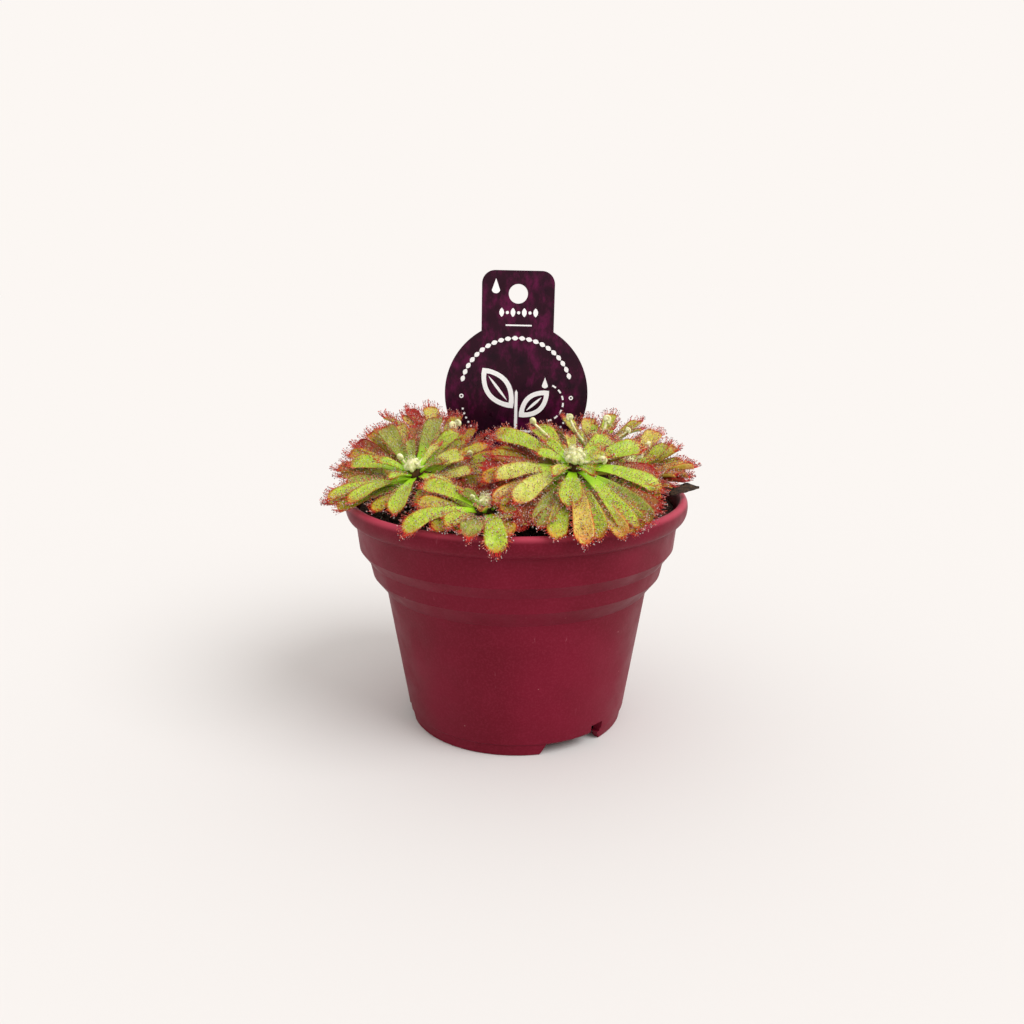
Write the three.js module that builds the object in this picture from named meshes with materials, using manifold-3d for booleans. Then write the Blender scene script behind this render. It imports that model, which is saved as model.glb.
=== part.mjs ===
// Potted sundew: seven clumped rosettes of a spoon-leaved sundew in a nine-centimetre nursery pot,
// with a plant label pushed into the peat. Millimetres, +Z up, origin on the ground under the pot's axis.
// The front of the object faces -Y.

import * as THREE from 'three';
import { mergeVertices } from 'three/addons/utils/BufferGeometryUtils.js';
import { LoftGeometry } from 'three/addons/geometries/LoftGeometry.js';
import Module from 'manifold-3d';

const wasm = await Module();
wasm.setup();

// ---- driving dimensions ----

const CLEARANCE = 0.3;            // between any two pieces

const POT = {
  height: 62,
  rimRadius: 45,
  wall: 1.1,
  floorUnderside: 3.4,
  footHeight: 3,
  footGap: 35,                    // degrees, the gap between two feet
  footGapCentres: [-60, 60, 180], // degrees
  slotCentres: [-46, 74, 194],    // degrees, where the drainage slots open, each between two feet
  slotAngle: 8,                   // degrees
  drainCount: 6,                  // short openings in the floor
  drainAngle: 14,                 // degrees
  drainRadii: [13, 16.5],
  segments: 48,
};

const SOIL = {
  edgeHeight: 58.6,
  crownHeight: 62.4,
  segments: 36,
};

const LABEL = {
  y: 28,
  thickness: 0.8,
  discRadius: 20.6,
  discHeight: 84.3,               // of the disc's centre
  tabWidth: 20.5,
  tabTop: 119,
  tabCorner: 3.7,
  holeRadius: 2.7,
  holeHeight: 112.6,
  stakeWidth: 10,
  stakeTip: 24,
  roll: 1.2,                      // degrees, right-hand side lower
};

const STEM = {
  radius: 1.9,
  rootLength: 9,                  // of the taproot in the soil
};

const LEAF = {
  thickness: 0.7,
  cupping: 0.13,                  // rise of the margins as a share of the half width
  tierStep: 1.15,                 // between the whorls along a stem
  tiers: 6,
  turns: [0, 3, -3, 6, -6, 9, -9], // degrees that a leaf may swing aside to find room
  lifts: [0, 0.7, -0.7, 1.4, -1.4, 2.1, -2.1, 2.8, -2.8, 3.5, 4.2, 4.9, 5.6, 6.3, 7],
  inset: 0.5,                     // of the petiole's end, beyond the clearance to the stem
  arch: 0.13,                     // height of the control point over the chord, as a share of the reach
  bend: 0.55,                     // place of the control point along the leaf
};

// Outline of a leaf: share of the length, and share of the blade's width
const LEAF_OUTLINE = [
  [0, 0.27], [0.16, 0.3], [0.36, 0.5], [0.56, 0.8], [0.74, 0.99], [0.88, 0.93], [0.96, 0.66], [1, 0.3],
];

// Each rosette: the heart of its crown, the lean of its axis (degrees, towards a compass angle from +X),
// the blade width, and its leaves. A leaf: compass angle, horizontal reach, and rise of its tip above the
// heart; a hanging leaf has its bend further out and a higher arch.
const ROSETTES = [
  {
    name: 'right', heart: [13.8, -21.5, 74.2], lean: 32, towards: -85, width: 6.2, heartRadius: 2.6,
    leaves: [
      [156, 21.5, 5], [126, 16, 6.2], [50, 15.8, 3.4], [20, 18, 2], [-12, 21, -6],
      [-43, 22.5, -11], [-58, 23, -12.2], [-77, 23.7, -12.4], [-97, 16, -7], [-113, 22.5, -10.6],
      [-135, 20, -6.5], [-160, 19.8, -2.8],
    ],
  },
  {
    name: 'left', heart: [-26, -11, 70.3], lean: 30, towards: -115, width: 5.8, heartRadius: 1.9,
    leaves: [
      [70, 15.5, 11], [48, 16, 7.5], [4, 12.7, 2.6], [-24, 16, 0.2], [-52, 15.5, -3.5], [-99, 18, -7],
      [-136, 19.5, -5.6], [-155, 22, -6], [-172, 17, -3.6], [172, 20, -2.6], [156, 18, 0], [122, 18, 8],
    ],
  },
  {
    name: 'front', heart: [-7.3, -31.5, 66.2], lean: 28, towards: -95, width: 5.8, heartRadius: 1.6,
    leaves: [
      [-80, 15.8, -7, 0.88, 0.42], [-155, 19.5, -4.8, 0.8, 0.25], [158, 16.6, 3], [-48, 10.5, -1],
      [-102, 15.6, -3.6, 0.85, 0.3], [-126, 13.5, -2.6, 0.7, 0.2],
    ],
  },
  {
    name: 'side', heart: [29.2, 0, 69], lean: 22, towards: 0, width: 5.4, heartRadius: 1.6,
    leaves: [[54, 16.7, 6.7], [36, 13, 5], [20, 18.4, -1.4], [2, 16, -3], [-28, 13.5, -1.5]],
  },
  {
    name: 'back_right', heart: [21, 14, 71.5], lean: 14, towards: 60, width: 5, heartRadius: 1.6,
    leaves: [[62, 15, 4.5], [-75, 8.5, 4.6], [118, 12.3, 6.7], [152, 12.5, 3.6], [26, 16, 3.4]],
  },
  {
    name: 'back_left', heart: [-20, 11, 71.5], lean: 12, towards: 130, width: 5, heartRadius: 1.6,
    leaves: [[66, 12, 7], [102, 14, 10], [142, 15, 7.6], [176, 16.5, 8.4]],
  },
  {
    name: 'back', heart: [3, 34.5, 66.5], lean: 24, towards: 88, width: 5, heartRadius: 1.5,
    leaves: [[18, 13, -1], [62, 13, -2.5], [102, 13, -2.6], [146, 13, -0.6]],
  },
];

// ---- materials ----

const plastic = (color) => new THREE.MeshStandardMaterial({ color, roughness: 0.45, metalness: 0 });
const organic = (color) => new THREE.MeshStandardMaterial({ color, roughness: 0.8, metalness: 0 });

const burgundyPlastic = plastic(0x7a1c35);
const labelPlastic = plastic(0x2a0c24);
const peat = organic(0x1c120d);
const leafGreen = organic(0xa4bd3f);
const stemGreen = organic(0x8fae35);
const deadLeaf = organic(0x3c2417);

// ---- solids and booleans ----

const radians = THREE.MathUtils.degToRad;

function named(name, geometry, material) {
  const mesh = new THREE.Mesh(geometry, material);
  mesh.name = name;
  return mesh;
}

function toSolid(geometry, matrix) {
  let merged = new THREE.BufferGeometry().copy(geometry);
  merged.deleteAttribute('normal');
  merged.deleteAttribute('uv');
  if (matrix) merged.applyMatrix4(matrix);
  merged = mergeVertices(merged);
  return new wasm.Manifold(new wasm.Mesh({
    numProp: 3,
    vertProperties: Float32Array.from(merged.attributes.position.array),
    triVerts: Uint32Array.from(merged.index.array),
  }));
}

function toGeometry(solid) {
  const { vertProperties, triVerts } = solid.getMesh();
  const geometry = new THREE.BufferGeometry();
  geometry.setAttribute('position', new THREE.Float32BufferAttribute(vertProperties, 3));
  geometry.setIndex(new THREE.Uint32BufferAttribute(triVerts, 1));
  geometry.computeVertexNormals();
  return geometry;
}

// A lathe about +Z: three.js turns its profile about Y
function lathe(profile, segments) {
  const points = profile.map(([radius, height]) => new THREE.Vector2(radius, height));
  return new THREE.LatheGeometry(points, segments).rotateX(Math.PI / 2);
}

// A block between two angles, two radii and two heights, as a straight-sided prism
function sectorBlock(centreAngle, angle, innerRadius, outerRadius, low, high) {
  const start = radians(centreAngle - angle / 2);
  const end = radians(centreAngle + angle / 2);
  const shape = new THREE.Shape();
  shape.absarc(0, 0, outerRadius, start, end, false);
  shape.absarc(0, 0, innerRadius, end, start, true);
  const geometry = new THREE.ExtrudeGeometry(shape, { depth: high - low, bevelEnabled: false, curveSegments: 4 });
  return toSolid(geometry.translate(0, 0, low));
}

// ---- pot ----

// Outside of the pot from the foot to the lip, then down the inside
const POT_OUTSIDE = [
  [28.8, 0], [29.6, 3], [35.2, 37.5], [38, 41.3], [38.9, 42.6], [39.5, 45.8], [41.2, 48.4],
  [41.8, 50], [42.6, 56], [43.4, 57], [44.6, 58.2], [POT.rimRadius, 59.8], [44.9, 61.2], [43.8, POT.height],
];
const POT_INSIDE = [
  [43, 61.7], [42.2, 60], [41.5, 56.2], [40.7, 50.3], [40.2, 49], [38.4, 46], [37.8, 43], [36.9, 41.7],
  [34.1, 37.8], [28.3, 4.6],
];

function buildPot() {
  const profile = [
    [0, POT.floorUnderside], [27.4, POT.floorUnderside], [27.2, 0],
    ...POT_OUTSIDE, ...POT_INSIDE, [0, POT.floorUnderside + POT.wall],
  ];
  let solid = toSolid(lathe(profile, POT.segments));
  for (const centre of POT.footGapCentres) {
    solid = solid.subtract(sectorBlock(centre, POT.footGap, 26.5, 30.5, -1, POT.footHeight));
  }
  for (const centre of POT.slotCentres) {
    solid = solid.subtract(sectorBlock(centre, POT.slotAngle, 25, 31, 2, 5.6));
  }
  for (let i = 0; i < POT.drainCount; i++) {
    const centre = i * 360 / POT.drainCount;
    solid = solid.subtract(sectorBlock(centre, POT.drainAngle, ...POT.drainRadii, 2, 5));
  }
  return named('pot', toGeometry(solid), burgundyPlastic);
}

// ---- soil ----

// The peat fills the pot to just under the lip and is heaped a little in the middle
function buildSoil(pockets) {
  const side = [[27.6, 5], [33.7, 37.8], [36.5, 41.8], [37.4, 43], [38, 46], [39.8, 49], [40.3, 50.3], [41.1, 56.2]];
  const top = [[41.4, SOIL.edgeHeight], [36, 60.6], [26, 61.8], [12, SOIL.crownHeight]];
  const profile = [[0, 5], ...side, ...top, [0, SOIL.crownHeight + 0.2]];
  let solid = toSolid(lathe(profile, SOIL.segments));
  for (const pocket of pockets) solid = solid.subtract(pocket);
  return named('soil', toGeometry(solid), peat);
}

// ---- label ----

// Front outline of the label: a disc with a rounded tab above and a pointed stake below.
// Grown by margin for the slit that it makes in the soil.
function labelOutline(margin) {
  const disc = LABEL.discRadius + margin;
  const tab = LABEL.tabWidth / 2 + margin;
  const stake = LABEL.stakeWidth / 2 + margin;
  const tabAngle = Math.acos(tab / disc);
  const stakeAngle = Math.acos(stake / disc);
  const top = LABEL.tabTop - LABEL.discHeight + margin;
  const tip = LABEL.stakeTip - LABEL.discHeight - margin;
  const corner = LABEL.tabCorner;
  const shape = new THREE.Shape();
  shape.moveTo(0, tip);
  shape.lineTo(stake, tip + 14);
  shape.absarc(0, 0, disc, -stakeAngle, tabAngle, false);
  shape.lineTo(tab, top - corner);
  shape.absarc(tab - corner, top - corner, corner, 0, Math.PI / 2, false);
  shape.absarc(corner - tab, top - corner, corner, Math.PI / 2, Math.PI, false);
  shape.absarc(0, 0, disc, Math.PI - tabAngle, Math.PI + stakeAngle, false);
  shape.lineTo(-stake, tip + 14);
  shape.lineTo(0, tip);
  return shape;
}

function labelPlate(margin) {
  const shape = labelOutline(margin);
  if (margin === 0) {
    const hole = new THREE.Path();
    hole.absarc(0, LABEL.holeHeight - LABEL.discHeight, LABEL.holeRadius, 0, 2 * Math.PI, true);
    shape.holes.push(hole);
  }
  const depth = LABEL.thickness + 2 * margin;
  const geometry = new THREE.ExtrudeGeometry(shape, { depth, bevelEnabled: false, curveSegments: 12 });
  geometry.translate(0, 0, -depth / 2).rotateX(Math.PI / 2);
  const mesh = named('label', geometry, labelPlastic);
  mesh.position.set(0, LABEL.y, LABEL.discHeight);
  mesh.rotation.y = radians(LABEL.roll);
  mesh.updateMatrixWorld();
  return mesh;
}

// ---- rosettes ----

function compass(angle) {
  return new THREE.Vector3(Math.cos(radians(angle)), Math.sin(radians(angle)), 0);
}

function axisOf({ lean, towards }) {
  return compass(towards).multiplyScalar(Math.sin(radians(lean))).setZ(Math.cos(radians(lean)));
}

// Stem of a rosette with its taproot below and the bud of coiled young leaves on top
function crownMesh(rosette, margin) {
  const { heart, heartRadius, name } = rosette;
  const stem = STEM.radius + margin;
  const bud = heartRadius + margin;
  const axis = axisOf(rosette);
  const stemLength = (heart[2] - SOIL.crownHeight) / axis.z;
  const profile = [
    [0, -stemLength - STEM.rootLength - margin], [0.5 + margin, -stemLength - STEM.rootLength],
    [1.2 + margin, -stemLength - 3], [stem, -stemLength + 0.5], [stem, 0.4],
    [bud, 1 + 0.4 * bud], [0.92 * bud, 1 + 0.9 * bud], [0.55 * bud, 1 + 1.35 * bud], [0, 1 + 1.5 * bud],
  ];
  const mesh = named(`${name}_rosette_crown`, lathe(profile, 10), stemGreen);
  mesh.quaternion.setFromUnitVectors(new THREE.Vector3(0, 0, 1), axis);
  return mesh;
}

// A leaf as a loft of cupped sections along an arching midrib, relative to the heart of its rosette.
// Its pose is the whorl on the stem, a turn about the stem and a lift of the arch; margin fattens it.
function leafGeometry(rosette, leaf, { turn, tier, lift }, margin) {
  const [angle, reach, rise, bend = LEAF.bend, arch = LEAF.arch] = leaf;
  const axis = axisOf(rosette);
  const heading = compass(angle + turn);
  const outward = heading.clone().projectOnPlane(axis).normalize();
  const start = outward.clone().multiplyScalar(STEM.radius + CLEARANCE + LEAF.inset - margin)
    .addScaledVector(axis, -0.6 - tier * LEAF.tierStep);
  const tip = heading.multiplyScalar(reach).setZ(rise + lift / 2);
  const bow = start.clone().lerp(tip, bend);
  bow.z += arch * reach + lift;
  const midrib = new THREE.QuadraticBezierCurve3(start, bow, tip);
  const sections = LEAF_OUTLINE.map(([share, widthShare]) => {
    const centre = midrib.getPoint(share);
    const along = midrib.getTangent(share);
    const across = new THREE.Vector3().crossVectors(axis, along).normalize();
    const above = new THREE.Vector3().crossVectors(along, across);
    const half = rosette.width * widthShare / 2 + margin;
    const thick = LEAF.thickness / 2 + margin;
    const lifted = LEAF.cupping * half;
    return [
      [half, lifted], [half / 2, thick], [-half / 2, thick],
      [-half, lifted], [-half / 2, -thick], [half / 2, -thick],
    ].map(([x, y]) => centre.clone().addScaledVector(across, x).addScaledVector(above, y));
  });
  return new LoftGeometry(sections, { capStart: true, capEnd: true });
}

// Whether two boxes come near each other, so that only near pieces are compared
function near(a, b) {
  return [0, 1, 2].every((i) => a.min[i] < b.max[i] && b.min[i] < a.max[i]);
}

function isClear(solid, others) {
  const box = solid.boundingBox();
  return others.every((other) => !near(box, other.boundingBox()) || solid.intersect(other).volume() < 1e-6);
}

// Every pose that a leaf may take, the least disturbed first
const LEAF_POSES = [];
for (const lift of LEAF.lifts) {
  for (const turn of LEAF.turns) {
    for (let tier = 0; tier < LEAF.tiers; tier++) LEAF_POSES.push({ turn, tier, lift });
  }
}

// A leaf settles in the first pose that keeps it clear of everything placed before it
function settleLeaf(rosette, leaf, placed) {
  const place = new THREE.Matrix4().makeTranslation(...rosette.heart);
  const fits = (pose) => isClear(toSolid(leafGeometry(rosette, leaf, pose, CLEARANCE), place), placed);
  const pose = LEAF_POSES.find(fits);
  if (!pose) throw new Error(`no room for a leaf of the ${rosette.name} rosette at ${leaf[0]} degrees`);
  const geometry = leafGeometry(rosette, leaf, pose, 0);
  placed.push(toSolid(geometry, place));
  return geometry;
}

function buildRosette(rosette, crown, placed) {
  const group = new THREE.Group();
  group.position.set(...rosette.heart);
  group.add(crown);
  rosette.leaves.forEach((leaf, i) => {
    const number = String(i + 1).padStart(2, '0');
    const geometry = settleLeaf(rosette, leaf, placed);
    group.add(named(`${rosette.name}_rosette_leaf_${number}`, geometry, leafGreen));
  });
  return group;
}

// ---- dead leaf ----

// A curled dead leaf lying on the lip at the right
function buildDeadLeaf() {
  const curve = new THREE.QuadraticBezierCurve3(
    new THREE.Vector3(39.5, -6, 62.4), new THREE.Vector3(43, -7, 65.2), new THREE.Vector3(47.2, -8.4, 64.2));
  const halfWidths = [0.8, 1.5, 1.2, 0.3];
  const sections = halfWidths.map((half, i) => {
    const centre = curve.getPoint(i / (halfWidths.length - 1));
    return [[half, 0.5], [0, 0.5], [-half, 0.8], [0, -0.2]]
      .map(([y, z]) => centre.clone().add(new THREE.Vector3(0, y, z)));
  });
  return named('dead_leaf', new LoftGeometry(sections, { capStart: true, capEnd: true }), deadLeaf);
}

// ---- assembly ----

const pot = buildPot();
const label = labelPlate(0);
const crowns = ROSETTES.map((rosette) => crownMesh(rosette, 0));
const worldSolid = (mesh, heart) => toSolid(
  mesh.geometry,
  new THREE.Matrix4().compose(new THREE.Vector3(...heart), mesh.quaternion, new THREE.Vector3(1, 1, 1)));
const grownLabel = labelPlate(CLEARANCE);
const pockets = ROSETTES.map((rosette) => worldSolid(crownMesh(rosette, CLEARANCE), rosette.heart));
const soil = buildSoil([...pockets, toSolid(grownLabel.geometry, grownLabel.matrixWorld)]);
const dryLeaf = buildDeadLeaf();

const placed = [pot, soil, dryLeaf].map((mesh) => toSolid(mesh.geometry));
placed.push(toSolid(label.geometry, label.matrixWorld));
ROSETTES.forEach((rosette, i) => placed.push(worldSolid(crowns[i], rosette.heart)));

const sundew = new THREE.Group();
sundew.add(pot, soil, label, dryLeaf);
ROSETTES.forEach((rosette, i) => sundew.add(buildRosette(rosette, crowns[i], placed)));

export default sundew;
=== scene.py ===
"""Looks of the potted sundew: leaves with glue-tipped tentacles, buds, peat, label and pot.

Lengths in this script are millimetres in the frame's axes; mesh_object() turns them into metres.
"""

import math
from random import Random

import bmesh
import bpy
import numpy as np
from mathutils import Matrix, Vector, noise


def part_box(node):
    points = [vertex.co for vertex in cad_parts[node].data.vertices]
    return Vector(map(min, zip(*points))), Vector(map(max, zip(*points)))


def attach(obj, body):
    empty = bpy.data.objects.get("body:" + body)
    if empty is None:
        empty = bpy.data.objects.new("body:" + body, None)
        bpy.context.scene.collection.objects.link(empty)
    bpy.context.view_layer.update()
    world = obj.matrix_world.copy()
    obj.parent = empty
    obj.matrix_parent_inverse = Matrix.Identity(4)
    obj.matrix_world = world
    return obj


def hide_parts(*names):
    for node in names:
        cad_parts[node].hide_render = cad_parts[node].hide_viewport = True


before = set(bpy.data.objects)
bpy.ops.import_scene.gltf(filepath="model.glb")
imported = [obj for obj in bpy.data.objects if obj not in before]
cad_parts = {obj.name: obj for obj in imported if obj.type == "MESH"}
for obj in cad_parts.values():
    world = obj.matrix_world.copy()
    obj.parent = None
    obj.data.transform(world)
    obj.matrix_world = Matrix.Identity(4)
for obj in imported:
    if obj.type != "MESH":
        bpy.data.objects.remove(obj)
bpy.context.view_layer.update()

MM = 0.001
UP = np.array([0.0, 0.0, 1.0])


# ---------------------------------------------------------------- frame measures

def box_mm(node):
    low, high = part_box(node)
    return np.array(low) / MM, np.array(high) / MM


def unit(vector):
    return vector / np.linalg.norm(vector, axis=-1, keepdims=True)


def compass(angle):
    return np.array([math.cos(math.radians(angle)), math.sin(math.radians(angle)), 0.0])


_, POT_HIGH = box_mm("pot")
POT_HEIGHT = POT_HIGH[2]
_, SOIL_HIGH = box_mm("soil")
SOIL_RADIUS = SOIL_HIGH[0]
LABEL_LOW, LABEL_HIGH = box_mm("label")


# ---------------------------------------------------------------- meshes

def mesh_object(name, points, faces, materials, slots=None, attributes=None, smooth=True):
    """A mesh object from points in millimetres, riding on the object's one body."""
    mesh = bpy.data.meshes.new(name)
    mesh.from_pydata((np.asarray(points, float) * MM).tolist(), [], faces)
    for material in materials:
        mesh.materials.append(material)
    if slots is not None:
        mesh.polygons.foreach_set("material_index", np.asarray(slots, np.int32))
    for key, values in (attributes or {}).items():
        layer = mesh.attributes.new(key, "FLOAT", "POINT")
        layer.data.foreach_set("value", np.asarray(values, np.float32))
    mesh.polygons.foreach_set("use_smooth", np.full(len(mesh.polygons), smooth))
    mesh.update()
    piece = bpy.data.objects.new(name, mesh)
    bpy.context.scene.collection.objects.link(piece)
    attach(piece, "root")
    return piece


class Heap:
    """Gathers many small shapes into one mesh."""

    def __init__(self):
        self.points, self.faces, self.slots, self.attributes, self.count = [], [], [], {}, 0

    def add(self, points, faces, slot, attributes=None):
        """points (n, 3); faces rows or a list of indices into them; slot a number or one for each face."""
        self.points.append(np.asarray(points, float))
        if isinstance(faces, list):
            self.faces.extend([tuple(i + self.count for i in face) for face in faces])
        else:
            self.faces.extend((faces + self.count).tolist())
        self.slots.append(np.broadcast_to(slot, len(faces)))
        for key, values in (attributes or {}).items():
            self.attributes.setdefault(key, []).append(values)
        self.count += len(points)

    def add_copies(self, shape, faces, centres, frames, slots):
        """One shape (n, 3) at each centre, turned and scaled by each 3 by 3 frame."""
        points = np.einsum("kj,cjx->ckx", shape, frames) + centres[:, None, :]
        faces = np.asarray(faces)
        offsets = np.arange(len(centres)) * len(shape)
        every = (faces[None, :, :] + offsets[:, None, None]).reshape(-1, faces.shape[1])
        self.add(points.reshape(-1, 3), every, np.repeat(slots, len(faces)))

    def build(self, name, materials, smooth=True):
        points = np.concatenate(self.points)
        attributes = {key: np.concatenate(values) for key, values in self.attributes.items()}
        return mesh_object(name, points, self.faces, materials, np.concatenate(self.slots), attributes,
                           smooth)


def ring_faces(rings, size, inward=False):
    """Quads between successive closed rings of points, for rings that run the other way if inward."""
    faces = []
    for i in range(rings - 1):
        for j in range(size):
            k = (j + 1) % size
            quad = (i * size + j, i * size + k, (i + 1) * size + k, (i + 1) * size + j)
            faces.append(quad[::-1] if inward else quad)
    return faces


def closed_faces(rings, size, inward=False):
    """The same with both ends capped."""
    first, last = tuple(range(size)), tuple(rings * size - 1 - i for i in range(size))
    caps = [first, last] if inward else [first[::-1], last[::-1]]
    return ring_faces(rings, size, inward) + caps


def lathe_points(profile, segments):
    """Rings of points about the Z axis, one ring for each point (radius, height) of the profile."""
    angles = np.arange(segments) * 2 * math.pi / segments
    circle = np.stack([np.cos(angles), np.sin(angles)], 1)
    rings = [np.concatenate([circle * radius, np.full((segments, 1), height)], 1) for radius,
             height in profile]
    return np.concatenate(rings)


def rounded(profile, passes=2, share=0.25):
    """Cuts the corners of an open outline, which turns them into small fillets."""
    points = np.array(profile, float)
    for _ in range(passes):
        start = points[:-1] + (points[1:] - points[:-1]) * share
        end = points[1:] - (points[1:] - points[:-1]) * share
        middle = np.stack([start, end], 1).reshape(-1, 2)[1:-1]
        points = np.concatenate([points[:1], middle, points[-1:]])
    return points


def ball(subdivisions):
    """Points and triangles of a unit icosphere, wound outwards."""
    bm = bmesh.new()
    bmesh.ops.create_icosphere(bm, subdivisions=subdivisions, radius=1)
    points = np.array([v.co[:] for v in bm.verts])
    faces = np.array([[v.index for v in f.verts] for f in bm.faces])
    bm.free()
    return points, faces


# ---------------------------------------------------------------- materials

def rgb(red, green, blue):
    """A display colour, 0 to 255, as linear values."""
    def linear(value):
        value /= 255
        return value / 12.92 if value <= 0.04045 else ((value + 0.055) / 1.055) ** 2.4
    return (linear(red), linear(green), linear(blue), 1)


class Surface:
    """A Principled material and short forms for the nodes that feed it."""

    def __init__(self, name, **sockets):
        self.material = bpy.data.materials.new(name)
        self.material.use_nodes = True
        self.tree = self.material.node_tree
        self.shader = self.tree.nodes["Principled BSDF"]
        for key, value in sockets.items():
            self.shader.inputs[key.replace("_", " ")].default_value = value
        self.coordinates = None

    def node(self, kind, links=(), **settings):
        made = self.tree.nodes.new(kind)
        for key, value in settings.items():
            if key in made.inputs:
                made.inputs[key].default_value = value
            else:
                setattr(made, key, value)
        for socket, source in dict(links).items():
            self.tree.links.new(source, made.inputs[socket])
        return made

    def place(self, stretch=(1, 1, 1)):
        """Object coordinates in millimetres, squeezed along the axes by stretch."""
        if self.coordinates is None:
            self.coordinates = self.node("ShaderNodeTexCoord").outputs["Object"]
        mapping = self.node("ShaderNodeMapping", {"Vector": self.coordinates})
        mapping.inputs["Scale"].default_value = [s / MM for s in stretch]
        return mapping.outputs["Vector"]

    def noise(self, size, detail=3.0, roughness=0.55, stretch=(1, 1, 1)):
        """Noise whose patches are about size millimetres across."""
        made = self.node("ShaderNodeTexNoise", {"Vector": self.place(stretch)}, Scale=1 / size, Detail=detail,
                         Roughness=roughness)
        return made.outputs["Fac"]

    def cells(self, size):
        made = self.node("ShaderNodeTexVoronoi", {"Vector": self.place()}, Scale=1 / size)
        return made.outputs["Distance"]

    def attribute(self, name):
        return self.node("ShaderNodeAttribute", attribute_name=name).outputs["Fac"]

    def span(self, value, low, high, new_low=0.0, new_high=1.0):
        made = self.node("ShaderNodeMapRange", {"Value": value}, interpolation_type="SMOOTHSTEP")
        for socket, number in zip(("From Min", "From Max", "To Min", "To Max"),
                                  (low, high, new_low, new_high)):
            made.inputs[socket].default_value = number
        return made.outputs["Result"]

    def math(self, operation, a, b):
        made = self.node("ShaderNodeMath", operation=operation, use_clamp=True)
        for socket, value in zip(made.inputs, (a, b)):
            if isinstance(value, (int, float)):
                socket.default_value = value
            else:
                self.tree.links.new(value, socket)
        return made.outputs["Value"]

    def mix(self, factor, a, b):
        made = self.node("ShaderNodeMix", data_type="RGBA")
        for index, value in ((0, factor), (6, a), (7, b)):
            if isinstance(value, (int, float, tuple)):
                made.inputs[index].default_value = value
            else:
                self.tree.links.new(value, made.inputs[index])
        return made.outputs[2]

    def colour(self, output):
        self.tree.links.new(output, self.shader.inputs["Base Color"])

    def roughness(self, output):
        self.tree.links.new(output, self.shader.inputs["Roughness"])

    def bump(self, height, distance, strength=1.0):
        """Bump of a height from 0 to 1, with distance in millimetres."""
        made = self.node("ShaderNodeBump", {"Height": height}, Strength=strength, Distance=distance * MM)
        self.tree.links.new(made.outputs["Normal"], self.shader.inputs["Normal"])


def pot_surface():
    s = Surface("burgundy_plastic", Roughness=0.46, Specular_IOR_Level=0.12)
    cloudy = s.span(s.noise(26, 4), 0.35, 0.68)
    colour = s.mix(cloudy, rgb(100, 9, 30), rgb(112, 14, 38))
    grain = s.span(s.noise(0.5, 2), 0.42, 0.7)
    colour = s.mix(s.math("MULTIPLY", grain, 0.35), colour, rgb(128, 32, 54))
    # Painted highlight: the top of the lip is lightened towards a pale pink by height.
    height = s.node("ShaderNodeSeparateXYZ", {"Vector": s.place()}).outputs["Z"]
    colour = s.mix(s.span(height, POT_HEIGHT - 1.6, POT_HEIGHT - 0.3, 0, 0.8), colour, rgb(176, 62, 82))
    scuffs = s.span(s.noise(2.2, 5, 0.75, (1, 1, 0.18)), 0.66, 0.76)
    colour = s.mix(s.math("MULTIPLY", scuffs, 0.3), colour, rgb(184, 104, 118))
    dust = s.span(s.cells(6.5), 0.02, 0.045, 1, 0)
    colour = s.mix(s.math("MULTIPLY", dust, 0.3), colour, rgb(190, 130, 130))
    s.colour(colour)
    s.roughness(s.span(s.noise(7, 4), 0.3, 0.7, 0.4, 0.54))
    s.bump(s.noise(0.35, 2), 0.02, 0.5)
    return s.material


def label_surface():
    s = Surface("label_plastic", Roughness=0.36, Specular_IOR_Level=0.14)
    blotches = s.span(s.noise(3.6, 6, 0.7, (1, 1, 0.55)), 0.44, 0.72)
    colour = s.mix(blotches, rgb(42, 6, 26), rgb(92, 12, 60))
    deep = s.span(s.noise(9, 3), 0.5, 0.7)
    colour = s.mix(s.math("MULTIPLY", deep, 0.7), colour, rgb(20, 4, 18))
    s.colour(colour)
    s.roughness(s.span(s.noise(5, 4), 0.3, 0.7, 0.26, 0.42))
    s.bump(s.noise(0.8, 2), 0.01, 0.3)
    return s.material


def two_tone(name, first, second, patches, span=(0.3, 0.7), bumps=None, depth=0.0, strength=1.0, **sockets):
    """Two colours in patches; patches and bumps are what Surface.noise() takes."""
    s = Surface(name, **sockets)
    share = s.noise(*patches)
    s.colour(s.mix(s.span(share, *span) if span else share, first, second))
    if bumps:
        s.bump(s.noise(*bumps), depth, strength)
    return s.material


def peat_surface():
    s = Surface("peat", Roughness=0.95, Specular_IOR_Level=0.25)
    lumps = s.span(s.noise(1.1, 6, 0.7), 0.3, 0.7)
    colour = s.mix(lumps, rgb(14, 9, 7), rgb(66, 44, 31))
    rusty = s.span(s.noise(3.2, 3), 0.55, 0.75)
    s.colour(s.mix(s.math("MULTIPLY", rusty, 0.5), colour, rgb(84, 52, 34)))
    s.bump(s.noise(0.45, 5, 0.75), 0.45)
    return s.material


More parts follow.
